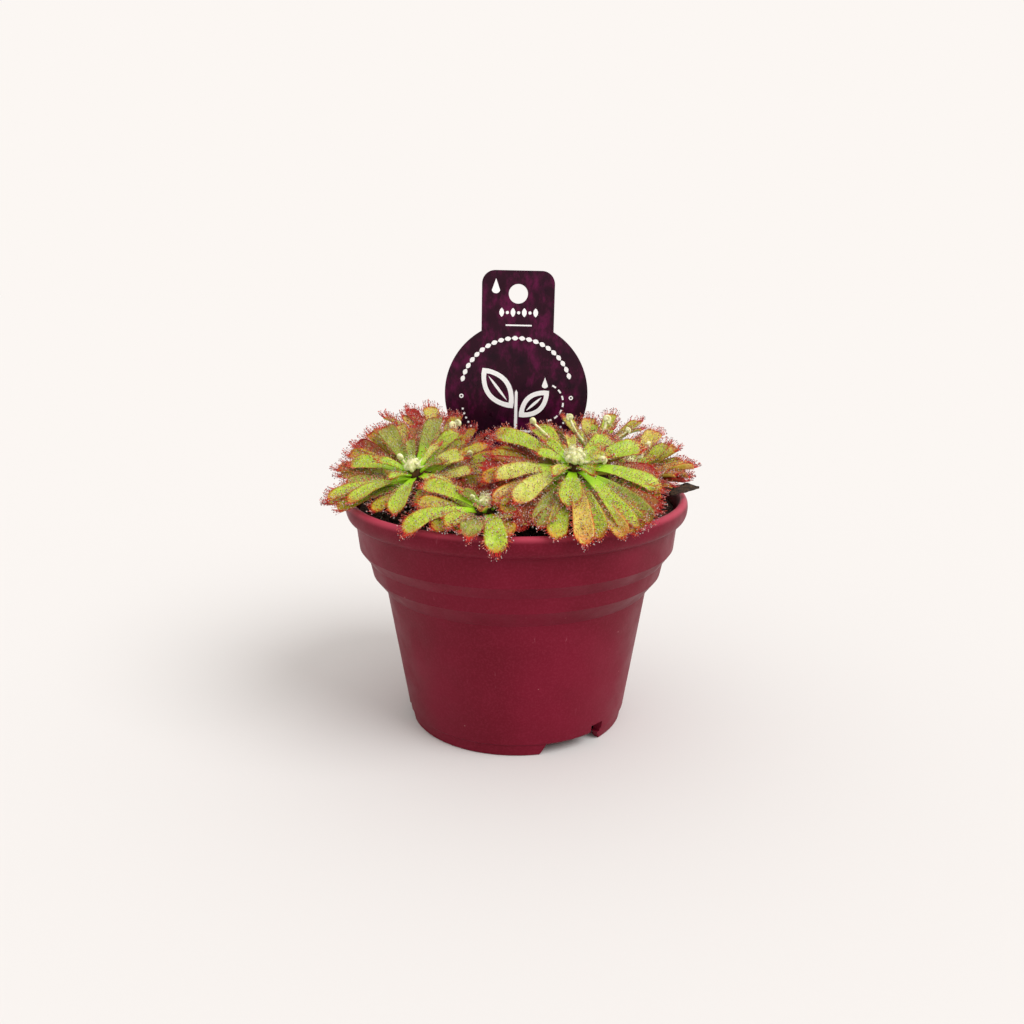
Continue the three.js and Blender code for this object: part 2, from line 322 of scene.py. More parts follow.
def blade_surface(name, young, old):
    """Skin of the leaves: green at the base, red at tips and margins, peppered with dark red dots in small dents,
    partly the tentacles' red bases and partly painted shadow of the glands.
    """
    s = Surface(name, Roughness=0.36, Specular_IOR_Level=0.32, Subsurface_Weight=0.12,
                Subsurface_Scale=0.0006)
    s.shader.inputs["Subsurface Radius"].default_value = (1.0, 0.8, 0.25)
    along, side, red = (s.attribute(key) for key in ("along", "side", "red"))
    mottle = s.span(s.noise(1.3, 4), 0.32, 0.68)
    fresh = s.mix(mottle, young[0], young[1])
    base = s.mix(s.span(along, 0.02, 0.5, 1, 0), fresh, rgb(158, 214, 34))
    blush = s.math("MULTIPLY", s.span(along, 0.84, 1.03), s.span(s.noise(1.6, 3), 0.3, 0.62))
    edge = s.math("MULTIPLY", s.span(side, 0.82, 1.0), s.span(along, 0.35, 0.8))
    ripe = s.math("MAXIMUM", s.math("MULTIPLY", blush, 0.7), s.math("MULTIPLY", edge, 0.65))
    ageing = s.math("MULTIPLY", s.span(along, 0.1, 0.9, 0.5, 1.2),
                    s.span(s.noise(2.0, 4), 0.25, 0.7, 0.4, 1.3))
    ripe = s.math("ADD", ripe, s.math("MULTIPLY", red, ageing))
    colour = s.mix(ripe, base, s.mix(s.noise(0.9, 3), old[0], old[1]))
    # Dark red dots in the dents of the bump: partly the red bases of the tentacles, partly painted shadow of the
    # glands.
    pits = s.math("MULTIPLY", s.span(s.cells(0.62), 0.16, 0.3, 1, 0), s.span(along, 0.16, 0.42))
    colour = s.mix(s.math("MULTIPLY", pits, 0.85), colour, rgb(96, 30, 22))
    s.colour(colour)
    s.bump(s.cells(0.62), 0.12, 0.5)
    return s.material


def plain(name, colour, **sockets):
    """Hairs, glands and drops a tenth of a millimetre across, too small to carry a pattern."""
    return Surface(name, Base_Color=colour, **sockets).material


POT_PLASTIC = pot_surface()
LABEL_PLASTIC = label_surface()
WHITE_PRINT = two_tone("white_print", rgb(252, 252, 252), rgb(226, 220, 226), (0.5, 3), (0.6, 0.78),
                       Roughness=0.5)
PEAT = peat_surface()
GRIT = two_tone("grit", rgb(236, 230, 218), rgb(168, 156, 140), (0.4, 2), None, Roughness=0.6)
FIBRE = two_tone("peat_fibre", rgb(92, 58, 34), rgb(38, 24, 16), (0.8, 2), None, Roughness=0.8)
BUD = two_tone("bud", rgb(240, 236, 196), rgb(208, 214, 138), (0.7, 3), bumps=(0.3, 3), depth=0.1,
               strength=0.6,
               Roughness=0.55, Subsurface_Weight=0.1, Subsurface_Scale=0.0006)
STEM = two_tone("old_stem", rgb(58, 34, 20), rgb(120, 78, 40), (0.9, 4, 0.6, (1, 1, 0.5)),
                bumps=(0.5, 4, 0.7),
                depth=0.3, Roughness=0.85)
DEAD = two_tone("dead_leaf", rgb(34, 24, 19), rgb(78, 56, 38), (0.8, 4), bumps=(0.4, 4), depth=0.2,
                Roughness=0.85)
BLADES = [
    blade_surface("blade_lime", (rgb(186, 208, 66), rgb(148, 188, 46)),
                  (rgb(222, 104, 42), rgb(200, 44, 32))),
    blade_surface("blade_yellow", (rgb(210, 212, 108), rgb(178, 196, 68)),
                  (rgb(228, 124, 56), rgb(206, 56, 40))),
    blade_surface("blade_olive", (rgb(160, 168, 64), rgb(124, 144, 48)),
                  (rgb(184, 48, 34), rgb(128, 22, 28))),
]
HAIRS = [
    plain("hair_pale", rgb(226, 222, 160), Roughness=0.4),
    plain("hair_pink", rgb(226, 140, 104), Roughness=0.4),
    plain("hair_red", rgb(222, 52, 42), Roughness=0.4),
    plain("gland_dark", rgb(112, 16, 26), Roughness=0.3),
    plain("gland_orange", rgb(206, 74, 36), Roughness=0.3),
    # Clear glue drops given a white base colour and less transmission: painted glints on the drops.
    plain("dew_painted_glint", rgb(250, 242, 236), Roughness=0.06, Transmission_Weight=0.45, IOR=1.35),
    plain("dew_blush", rgb(240, 176, 170), Roughness=0.04, Transmission_Weight=0.6, IOR=1.35),
]
PALE, PINK, RED, GLAND_DARK, GLAND_ORANGE, DEW_PAINTED_GLINT, DEW_BLUSH = range(7)


# ---------------------------------------------------------------- leaves

class Midrib:
    """The run of a leaf: centre points, the directions across and above it, and its half width."""

    def __init__(self, centres, across, above, half):
        self.centres, self.across, self.above, self.half = centres, across, above, half
        self.length = np.linalg.norm(np.diff(centres, axis=0), axis=1).sum()

    def at(self, shares):
        """Smooth values at shares of the length from 0 to 1."""
        steps = np.linalg.norm(np.diff(self.centres, axis=0), axis=1)
        knots = np.concatenate([[0], np.cumsum(steps)]) / steps.sum()
        fit = [np.polynomial.polynomial.polyfit(knots, values, 4) for values in
               (self.centres, self.across, self.above)]
        centres, across, above = (np.polynomial.polynomial.polyval(shares, c).T for c in fit)
        across = unit(across)
        above = unit(above - across * np.sum(above * across, 1, keepdims=True))
        return centres, across, above


def rosette_axis(node):
    """The top of a rosette's crown, the direction of its axis and its bud's radius, from its solid."""
    points = np.array([v.co[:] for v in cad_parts[node].data.vertices]) / MM
    middle = (points.max(0) + points.min(0)) / 2
    axis = np.linalg.svd(points - points.mean(0), full_matrices=False)[2][0]
    axis *= np.sign(axis[2])
    reach = (points - middle) @ axis
    top = points[np.argmax(reach)]
    away = (points - top) - ((points - top) @ axis)[:, None] * axis
    near = reach > reach.max() - 2.5
    return top, axis, np.linalg.norm(away[near], axis=1).max()


def leaf_rings(node, heart, axis):
    """The rings of a leaf's solid, from its stem end to its tip, each an array of its points."""
    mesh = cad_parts[node].data
    points = np.array([v.co[:] for v in mesh.vertices]) / MM
    keys, merged = {}, []
    index = []
    for point in points:
        key = tuple(np.round(point, 3))
        if key not in keys:
            keys[key] = len(merged)
            merged.append(point)
        index.append(keys[key])
    merged = np.array(merged)
    neighbours = [set() for _ in merged]
    for edge in mesh.edges:
        a, b = (index[v] for v in edge.vertices)
        neighbours[a].add(b)
        neighbours[b].add(a)
    away = (merged - heart) - ((merged - heart) @ axis)[:, None] * axis
    order = np.argsort(np.linalg.norm(away, axis=1))
    ring, seen, rings = set(order[:6].tolist()), set(), []
    while ring:
        rings.append(merged[sorted(ring)])
        seen |= ring
        ring = {n for v in ring for n in neighbours[v]} - seen
    return rings


def midrib_of(node, heart, axis):
    rings = leaf_rings(node, heart, axis)
    centres, across, half = [], [], []
    for ring in rings:
        gaps = np.linalg.norm(ring[:, None] - ring[None], axis=2)
        a, b = np.unravel_index(np.argmax(gaps), gaps.shape)
        centres.append(ring.mean(0))
        across.append(ring[a] - ring[b])
        half.append(gaps[a, b] / 2)
    centres = np.array(centres)
    along = np.gradient(centres, axis=0)
    sides = np.cross(axis, along)
    across = unit(np.array(across) * np.sign(np.sum(np.array(across) * sides, 1, keepdims=True)))
    above = unit(np.cross(unit(along), across))
    return Midrib(centres, across, above, max(half))


def arc_midrib(heart, axis, leaf, width, tier):
    """The run of a leaf that grows from the stem below the leaves of the frame."""
    angle, reach, rise = leaf[:3]
    arch = leaf[3] if len(leaf) > 3 else 0.14
    heading = compass(angle)
    outward = unit(heading - axis * (heading @ axis))
    start = heart + outward * 1.6 - axis * (0.8 + 1.1 * tier)
    tip = heart + heading * reach + UP * rise
    bow = start + (tip - start) * 0.55 + UP * arch * reach
    shares = np.linspace(0, 1, 8)[:, None]
    centres = start * (1 - shares) ** 2 + 2 * bow * shares * (1 - shares) + tip * shares ** 2
    along = np.gradient(centres, axis=0)
    across = unit(np.cross(axis, along))
    return Midrib(centres, across, unit(np.cross(along, across)), width / 2)


def outline(shares, round_share):
    """Half width of a spoon-shaped leaf along its length, as a share of the widest place; round_share is the
    share of the length that the rounded tip takes."""
    spread = np.clip((shares - 0.06) / (0.94 - round_share), 0, 1)
    blade = 0.34 + 0.66 * (0.45 * spread + 0.55 * spread ** 2 * (3 - 2 * spread))
    tip = np.clip(shares - 1 + round_share, 0, 1) / round_share
    return blade * np.sqrt(np.clip(1 - tip ** 2.4, 0, 1))


STATIONS = 24
TOP = np.linspace(-1, 1, 9)
UNDER = np.linspace(1, -1, 9)[1:-1]
SECTION_ACROSS = np.concatenate([TOP, UNDER])
SECTION_TOP = np.concatenate([np.ones(9), np.zeros(7)])


class Leaf:
    """A blade's shape, and where things stand on it."""

    def __init__(self, midrib, seed, age, cup, curl):
        self.midrib, self.age = midrib, age
        self.random = Random(seed)
        self.cup, self.curl = cup, curl
        self.round = min(0.4, 1.15 * midrib.half / midrib.length)
        self.wave = self.random.uniform(0, 6)
        self.twist = math.radians(self.random.uniform(-9, 9))

    def surface(self, shares, sides, lift=0.0):
        """Points and normals of the upper face at shares of the length and sides from -1 to 1."""
        centres, across, above = self.midrib.at(shares)
        half = self.midrib.half * outline(shares, self.round)
        turn = (self.twist * shares)[:, None]
        along = np.cross(across, above)
        across, above = (across * np.cos(turn) + above * np.sin(turn),
                         above * np.cos(turn) - across * np.sin(turn))
        fold = self.cup * (0.5 + shares)
        rise = fold * half * np.abs(sides) ** 1.8
        rise += 0.12 * np.sin(shares * 17 + self.wave) * np.abs(sides) ** 2 * half / 3
        rise += self.curl * np.clip(shares - 0.8, 0, 1) ** 2 * 60
        reach = half * sides * (1 - 0.25 * fold * np.abs(sides))
        slope = fold * 1.8 * np.abs(sides) ** 0.8 * np.sign(sides)
        normals = unit(above - across * slope[:, None])
        points = centres + across * reach[:, None] + above * (rise + lift)[:, None]
        return points, normals, across, along

    def thickness(self, shares, sides):
        plump = 0.62 - 0.3 * shares
        return plump * (1 - 0.62 * np.abs(sides) ** 2)

    def blade(self):
        """Points, faces and the attributes of the blade's skin."""
        shares = 1 - (1 - np.linspace(0, 1, STATIONS)) ** 1.35
        shares[-1] = 0.999
        grid_shares = np.repeat(shares, len(SECTION_ACROSS))
        grid_sides = np.tile(SECTION_ACROSS, STATIONS)
        top = np.tile(SECTION_TOP, STATIONS)
        points, normals, _, _ = self.surface(grid_shares, grid_sides)
        points = points - normals * (self.thickness(grid_shares, grid_sides) * (1 - top))[:, None]
        faces = closed_faces(STATIONS, len(SECTION_ACROSS), inward=True)
        attributes = {"along": grid_shares, "side": np.abs(grid_sides),
                      "red": np.full(len(points), self.age)}
        return points, faces, attributes


# ---------------------------------------------------------------- tentacles

THREE = np.arange(3) * 2 * math.pi / 3
GLAND_SHAPE = np.array([(1, 0, 0), (-1, 0, 0), (0, 1, 0), (0, -1, 0), (0, 0, 1.4), (0, 0, -1.4)], float)
GLAND_FACES = np.array([(0, 2, 4), (2, 1, 4), (1, 3, 4), (3, 0, 4), (2, 0, 5), (1, 2, 5), (3, 1, 5),
                        (0, 3, 5)])
DROP_SHAPE, DROP_FACES = ball(1)
STALK_FACES = np.array([(0, 1, 4), (0, 4, 3), (1, 2, 5), (1, 5, 4), (2, 0, 3), (2, 3, 5),
                        (3, 4, 6), (4, 5, 6), (5, 3, 6), (2, 1, 0)])


def frames_along(directions):
    """For each direction, a 3 by 3 frame whose last row is the direction."""
    helper = np.where(np.abs(directions[:, 2:]) > 0.9, np.array([[1.0, 0, 0]]), np.array([[0, 0, 1.0]]))
    first = unit(np.cross(helper, directions))
    second = np.cross(directions, first)
    return np.stack([first, second, directions], 1)


def tube(heap, path, radii, sides, slot):
    """A tube along the path, open at both ends, with a radius at each point."""
    frames = frames_along(unit(np.gradient(path, axis=0) + 1e-6))
    turn = np.arange(sides) * 2 * math.pi / sides
    ring = np.stack([np.cos(turn), np.sin(turn), np.zeros(sides)], 1)
    points = path[:, None] + np.einsum("kj,cjx->ckx", ring, frames) * radii[:, None, None]
    heap.add(points.reshape(-1, 3), ring_faces(len(path), sides), slot)


class Tentacles:
    """Stalks with a gland and most with a drop of glue, gathered for one rosette."""

    def __init__(self):
        self.heap = Heap()

    def grow(self, roots, directions, bends, lengths, thickness, stalk_slots, gland_slots, drops, drop_slots,
             drop=(GLAND_SHAPE, GLAND_FACES)):
        """roots and directions (n, 3); bends (n, 3) is added to the direction halfway up."""
        count = len(roots)
        elbows = roots + directions * (lengths * 0.5)[:, None]
        upper = unit(directions + bends)
        tips = elbows + upper * (lengths * 0.5)[:, None]
        low, high = frames_along(unit(directions)), frames_along(upper)
        ring = np.stack([np.cos(THREE), np.sin(THREE), np.zeros(3)], 1)
        base = roots[:, None] + np.einsum("kj,cjx->ckx", ring, low) * thickness[:, None, None]
        waist = elbows[:, None] + np.einsum("kj,cjx->ckx", ring, high) * (thickness * 0.7)[:, None, None]
        points = np.concatenate([base, waist, tips[:, None]], 1).reshape(-1, 3)
        faces = (STALK_FACES[None] + (np.arange(count) * 7)[:, None, None]).reshape(-1, 3)
        self.heap.add(points, faces, np.repeat(stalk_slots, len(STALK_FACES)))
        sizes = thickness[:, None, None] * 1.9
        self.heap.add_copies(GLAND_SHAPE, GLAND_FACES, tips, high * sizes, gland_slots)
        wet = drops > 0
        radii = np.broadcast_to(drops[wet, None, None], (wet.sum(), 3, 3)) * np.eye(3)
        self.heap.add_copies(*drop, tips[wet] + upper[wet] * drops[wet, None] * 0.5, radii,
                             drop_slots[wet])

    def on_face(self, leaf, spacing):
        """Short tentacles over the upper face of the blade."""
        random = leaf.random
        half = leaf.midrib.half
        length = leaf.midrib.length
        rows = max(3, int(length * 0.66 / spacing))
        columns = max(3, int(half * 2 / spacing))
        shares, sides = [], []
        for i in range(rows):
            for j in range(columns):
                shares.append(0.34 + 0.63 * (i + random.uniform(0.1, 0.9)) / rows)
                sides.append(-0.88 + 1.76 * (j + random.uniform(0.1, 0.9)) / columns)
        shares, sides = np.array(shares), np.array(sides)
        keep = outline(shares, leaf.round) > 0.3 + 0.4 * np.array([random.random() for _ in shares])
        shares, sides = shares[keep], sides[keep]
        count = len(shares)
        draw = np.array([[random.random() for _ in range(5)] for _ in range(count)])
        roots, normals, across, _ = leaf.surface(shares, sides)
        lean = across * (sides * 0.55)[:, None] + (draw[:, :3] - 0.5) * 0.5
        lengths = 0.4 + 0.6 * draw[:, 3] + 0.6 * np.abs(sides) ** 2 + 0.5 * np.clip(shares - 0.7, 0, 1)
        reddish = draw[:, 4] + leaf.age * 0.8 + 0.3 * (shares - 0.6) + 0.25 * np.abs(sides)
        stalks = np.where(reddish > 1.15, RED, np.where(reddish > 0.72, PINK, PALE))
        glands = np.where(draw[:, 0] < 0.75, GLAND_DARK, GLAND_ORANGE)
        drops = np.where(draw[:, 1] < 0.72, 0.08 + 0.06 * draw[:, 2], 0)
        tints = np.where(draw[:, 3] < 0.7, DEW_PAINTED_GLINT, DEW_BLUSH)
        self.grow(roots, unit(normals + lean), lean * 0.4, lengths, np.full(count, 0.05), stalks, glands,
                  drops, tints)

    def on_margin(self, leaf, spacing):
        """Long tentacles around the margin, pointing outwards, longest and densest at the tip."""
        random = leaf.random
        length = leaf.midrib.length
        steps = max(3, int(length * 0.5 / spacing))
        places = [(0.34 + (0.66 - leaf.round) * i / steps, side) for i in range(steps) for side in (-1, 1)]
        round_tip = max(9, int(leaf.midrib.half * 4.6 / spacing))
        places += [(1 - leaf.round + (leaf.round - 0.01) * math.cos(a), math.sin(a))
                   for a in np.linspace(-1.5, 1.5, round_tip)] * 2
        places = np.array(places)
        count = len(places)
        draw = np.array([[random.random() for _ in range(7)] for _ in range(count)])
        shares = np.clip(places[:, 0] + (draw[:, 0] - 0.5) * 0.04, 0.3, 0.992)
        sides = places[:, 1] * (0.93 + 0.05 * draw[:, 6])
        tipward = np.clip((shares - 0.74) / 0.24, 0, 1)
        roots, normals, across, along = leaf.surface(shares, np.clip(sides, -0.97, 0.97))
        out = across * (sides * (1 - 0.5 * tipward))[:, None] + along * (0.15 + 0.85 * tipward)[:, None]
        directions = unit(out + normals * (0.05 + 0.65 * draw[:, 1])[:, None] + (draw[:, 2:5] - 0.5) * 0.35)
        lengths = (0.8 + 1.1 * draw[:, 5]) * (0.75 + 0.5 * tipward)
        reddish = draw[:, 0] + 0.1 + leaf.age * 0.9 + 0.75 * tipward
        stalks = np.where(reddish > 0.95, RED, np.where(reddish > 0.5, PINK, PALE))
        glands = np.where(draw[:, 1] < 0.6, GLAND_DARK, GLAND_ORANGE)
        drops = np.where(draw[:, 2] < 0.5, 0.1 + 0.07 * draw[:, 3], 0)
        tints = np.where(draw[:, 4] < 0.4, DEW_PAINTED_GLINT, DEW_BLUSH)
        self.grow(roots, directions, normals * 0.35, lengths, np.full(count, 0.075), stalks, glands, drops,
                  tints,
                  (DROP_SHAPE, DROP_FACES))


# ---------------------------------------------------------------- rosettes

# Leaves besides the frame's own, as in the frame: compass angle, horizontal reach and rise of the tip
# above the rosette's heart. OLD ones grow under the others, the oldest of them red; YOUNG ones stand around the bud.
OLD = {
    "left": [(128, 21.5, 6.2), (140, 22, 3.6), (150, 21, 1.6), (163, 21.5, -1.6), (-165, 22, -7.6),
             (-145, 21, -7.8), (-120, 16.5, -7.4), (-76, 15, -7.2), (-62, 16.5, -6.4), (92, 18, 8.6),
             (108, 20, 8), (44, 17.5, 5), (27, 21, 4.2), (36, 24, 1.4), (12, 22.5, 1.6), (-4, 21.5, -0.6),
             (-20, 20, -3),
             (-38, 17, -4), (20, 14, 1), (-10, 15, -3)],
    "right": [(-88, 25.6, -13.4, 0.3), (-148, 22.5, -7.5), (-139, 22.5, -9), (-124, 24, -11.6),
              (-67, 24.4, -12.8),
              (-32, 22.5, -9.6), (-20, 21, -8.4), (4, 20, -3.4), (-103, 24.6, -12.4), (170, 21, 0),
              (141, 19, 2.6), (75, 14, 0.6), (108, 14, 1.6), (36, 17, 1), (-52, 23, -12), (157, 20, 4),
              (149, 23, -1), (132, 21, -1), (179, 22, -2),
              (-169, 22.5, -4), (-158, 20, -6.5)],
    "front": [(-140, 15, -3.4), (-113, 14, -3.2, 0.25), (-68, 14.4, -3.8, 0.3), (-40, 14, -2.2),
              (-18, 11, -2),
              (180, 16, 0), (138, 14, 1.4), (-168, 16, -3), (20, 9, -1), (60, 9, 0.5), (100, 11, 1.5)],
    "side": [(70, 15, 2.4), (46, 17.5, 1.6), (30, 17, 2.8), (12, 17.2, -3.6), (-10, 15.4, -3.8),
             (-40, 14, -3.8), (92, 13, 0.6), (-66, 12, -3), (62, 17, 4.5), (130, 11, 0), (24, 18, -1),
             (52, 18, -1.5), (4, 18, -1)],
    "back_right": [(45, 17, 2.6), (80, 14, 1.4), (100, 13, 0.6), (8, 15, 1.4), (136, 14, 2.2),
                   (170, 12, 0.6), (-46, 9, 1.4), (64, 16, 7), (90, 13, 6), (-110, 10, 1), (-150, 12, 1),
                   (35, 18, 5), (20, 15, -2.5), (58, 15, -2), (95, 14, -2), (126, 14, -2), (160, 13, -2),
                   (-8, 14, -3)],
    "back_left": [(84, 14, 7), (120, 16, 6.6), (155, 18, 4.4), (170, 19, 1.4), (188, 17, 0.6), (30, 13, 2.4),
                  (52, 13, 4), (-30, 11, 0), (132, 16, 9), (-170, 15, 1), (-80, 9, 0.5), (110, 15, 3),
                  (0, 12, 1),
                  (160, 17, 8)],
    "back": [(0, 12, -2.2), (40, 13, -3), (82, 12, -3), (122, 12.6, -3), (165, 13, -2.4),
             (-160, 10, -1.6), (-20, 10, -1.2), (30, 11, 1.5), (75, 10.5, 1.8), (118, 10.5, 1.6),
             (155, 11, 1.4)],
}
YOUNG = {
    "left": [(100, 9, 6), (-20, 8, 2), (-125, 9, -1), (178, 9, 2), (40, 8, 5)],
    "right": [(95, 8.5, 4.4), (30, 7.5, 2), (-60, 8, -2), (-125, 9, -2), (-175, 9, 2), (150, 8, 4),
              (0, 8, 1)],
    "front": [(-100, 6, 0), (20, 6, 1.5), (150, 6.5, 2), (-30, 6, 1)],
    "side": [(10, 6.5, 1), (120, 6, 4), (-100, 6, 1.5), (60, 7, 4)],
    "back_right": [(20, 6.5, 4), (140, 6, 4), (-100, 6, 3), (-30, 6, 3), (80, 7, 5)],
    "back_left": [(30, 6, 3), (130, 7, 5), (-120, 6, 3), (180, 7, 4), (80, 7, 5.5)],
    "back": [(90, 6, 1), (-30, 5.5, 2.5), (-150, 5.5, 2.5), (150, 6, 2), (30, 6, 2)],
}
# Share of red of each rosette's main leaves
AGES = {"left": 0.05, "right": 0.03, "front": 0.07, "side": 0.16, "back_right": 0.2, "back_left": 0.2,
        "back": 0.2}
FACE_SPACING = 0.72
MARGIN_SPACING = 0.5


def add_leaf(heap, leaf, tentacles, spacing):
    """Adds the blade to the heap, whose materials are BLADES, and its tentacles to the rosette's."""
    points, faces, attributes = leaf.blade()
    slot = leaf.random.choices(range(3), (5 - 4 * leaf.age, 3, 1 + 5 * leaf.age))[0]
    heap.add(points, faces, slot, attributes)
    tentacles.on_face(leaf, spacing)
    tentacles.on_margin(leaf, MARGIN_SPACING)


def curl(heap, centre, radial, axis, size, slot):
    """A coiled young leaf: a tapering tube that rises at the outside and curls in over the middle."""
    sides, steps = 8, 14
    angles = np.linspace(-1.1, 4.9, steps)
    reach = np.linspace(1.0, 0.42, steps) * size
    path = centre + radial * (np.cos(angles) * reach)[:, None] + axis * (np.sin(angles) * reach)[:, None]
    along = unit(np.gradient(path, axis=0))
    flank = np.cross(radial, axis)
    inward = np.cross(along, flank)
    turn = np.arange(sides) * 2 * math.pi / sides
    thick = size * np.linspace(0.5, 0.3, steps)
    rings = (path[:, None] + flank * (np.cos(turn)[None, :] * thick[:, None] * 1.35)[..., None]
             + inward[:, None] * (np.sin(turn)[None, :] * thick[:, None])[..., None])
    heap.add(rings.reshape(-1, 3), ring_faces(steps, sides), slot)
    fan = [(j, (j + 1) % sides, sides) for j in range(sides)]
    for rim, middle in ((rings[0][::-1], path[0]), (rings[-1], path[-1])):
        heap.add([*rim, middle], fan, slot)


# Young leaves still rolled up at the tip: offset of the coil from the heart, and the coil's size
CROZIERS = {
    "left": [((-3.3, 1.5, 2.6), 1.1), ((9, 14, 8.4), 1.3), ((14, 3, 3.4), 0.8)],
    "right": [((6.6, -1, 0.4), 1.1), ((-9.6, 13, 7.4), 1.1)],
    "front": [((-3, 1, 1.5), 0.7)],
    "side": [((3, -2, 3), 0.9), ((6, 5, 4.6), 0.9)],
    "back_right": [((-6, 3, 7.4), 1.1), ((4, 2, 7), 1.3), ((10, 2, 4), 0.9)],
    "back_left": [((4, -1, 7), 1.0), ((-5, 3, 5), 0.9)],
    "back": [((3, 2, 3), 0.9)],
}


def build_croziers(name, heart, axis):
    """Slender stalks that end in a coil."""
    heap = Heap()
    for offset, size in CROZIERS[name]:
        offset = np.array(offset, float)
        radial = unit(offset - axis * (offset @ axis))
        foot, head = heart + radial * 1.2, heart + offset
        size *= 0.85
        shares = np.linspace(0, 1, 8)[:, None]
        bow = foot + (head - foot) * 0.5 + radial * 0.12 * np.linalg.norm(offset)
        path = foot * (1 - shares) ** 2 + 2 * bow * shares * (1 - shares) + head * shares ** 2
        tube(heap, path, np.linspace(0.42, 0.34, 8) * size, 8, 0)
        curl(heap, head + axis * size * 0.4, radial, axis, size, 0)
        knob, knob_faces = ball(2)
        heap.add(knob * size * 0.62 + head + axis * size * 0.4, knob_faces, 0)
    croziers = heap.build(f"{name}_croziers", [BUD])


# The scales on the stem, which are the bases of old leaves: how many, and the faces of one
SCALE_COUNT = 26
SCALE_FACES = [(0, 1, 2), (0, 2, 3), (3, 2, 4), (1, 0, 6), (2, 1, 5), (1, 6, 5), (0, 3, 5), (0, 5, 6),
               (4, 2, 5),
               (3, 4, 5)]


def around(sides, angle):
    """The direction at an angle about an axis, from two directions square to it."""
    return sides[0] * math.cos(angle) + sides[1] * math.sin(angle)


def build_crown(name, top, axis, radius, tentacles):
    """The short stem clad in old leaf bases, and the bud of coiled young leaves on top."""
    random = Random(name + "crown")
    heap = Heap()
    heart = top - axis * (1 + 1.5 * radius)
    depth = (heart[2] - SOIL_HIGH[2]) / axis[2] + 3
    sides = frames_along(axis[None])[0][:2]
    rings, segments = 14, 24
    grid = []
    for share in np.linspace(0, 1, rings):
        base = heart - axis * depth * (1 - share) + axis * 0.4 * share
        for angle in np.arange(segments) * 2 * math.pi / segments:
            out = around(sides, angle)
            bulge = 1.75 + 0.5 * noise.noise(Vector((angle * 1.5, share * 7, radius)))
            grid.append(base + out * bulge * (1 - 0.25 * share))
    heap.add(grid, ring_faces(rings, segments), 0)
    for i in range(SCALE_COUNT):
        angle = i * 2.4
        share = random.uniform(0, 0.85)
        out = around(sides, angle)
        base = heart - axis * depth * (1 - share) + out * 1.4
        tip = base + out * random.uniform(2.0, 4.5) + axis * random.uniform(-1.5, 0.6)
        flank = np.cross(axis, out) * random.uniform(0.5, 0.9)
        middle = (base + tip) / 2 + axis * 0.4
        shape = [base - flank * 0.6, base + flank * 0.6, middle + flank, middle - flank, tip,
                 middle - axis * 0.25, base - axis * 0.25]
        heap.add(shape, SCALE_FACES, 0)
    core, core_faces = ball(3)
    lumps = np.array([1 + 0.16 * noise.noise(Vector(p * 2.2) + Vector((radius, 0, 0))) for p in core])
    heap.add(core * lumps[:, None] * radius * 0.8 + heart + axis * (0.5 + radius * 0.55), core_faces, 1)
    count = 5 if radius < 2.2 else 7
    size = radius * 0.42
    for i in range(count):
        angle = i * 2 * math.pi / count
        radial = around(sides, angle)
        centre = heart + radial * radius * 0.62 + axis * (0.7 + radius * random.uniform(0.4, 0.7))
        curl(heap, centre, radial, axis, size * random.uniform(0.85, 1.1), 1)
    if radius > 2.2:
        for i in range(3):
            radial = around(sides, i * 2.1)
            curl(heap, heart + radial * 0.7 + axis * (1.2 + radius * 0.75), radial, axis, size * 0.85, 1)
    crown = heap.build(f"{name}_crown", [STEM, BUD])
    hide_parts(f"{name}_rosette_crown")
    hairs = 150 if radius > 2.2 else 50
    draw = np.array([[random.random() for _ in range(8)] for _ in range(hairs)])
    spin = draw[:, 0] * 2 * math.pi
    tilt = draw[:, 1] ** 0.6
    outward = (sides[0] * np.cos(spin)[:, None] + sides[1] * np.sin(spin)[:, None]) * tilt[:, None]
    outward = unit(outward + axis * (1.1 - tilt)[:, None])
    roots = heart + axis * (0.7 + radius * 0.4) + outward * radius * 0.85
    tentacles.grow(roots, outward, (draw[:, 2:5] - 0.5) * 0.9, 0.5 + 0.6 * draw[:, 5], np.full(hairs, 0.05),
                   np.full(hairs, PALE), np.full(hairs, PALE), np.where(draw[:, 6] < 0.5, 0.12, 0),
                   np.full(hairs, DEW_PAINTED_GLINT))


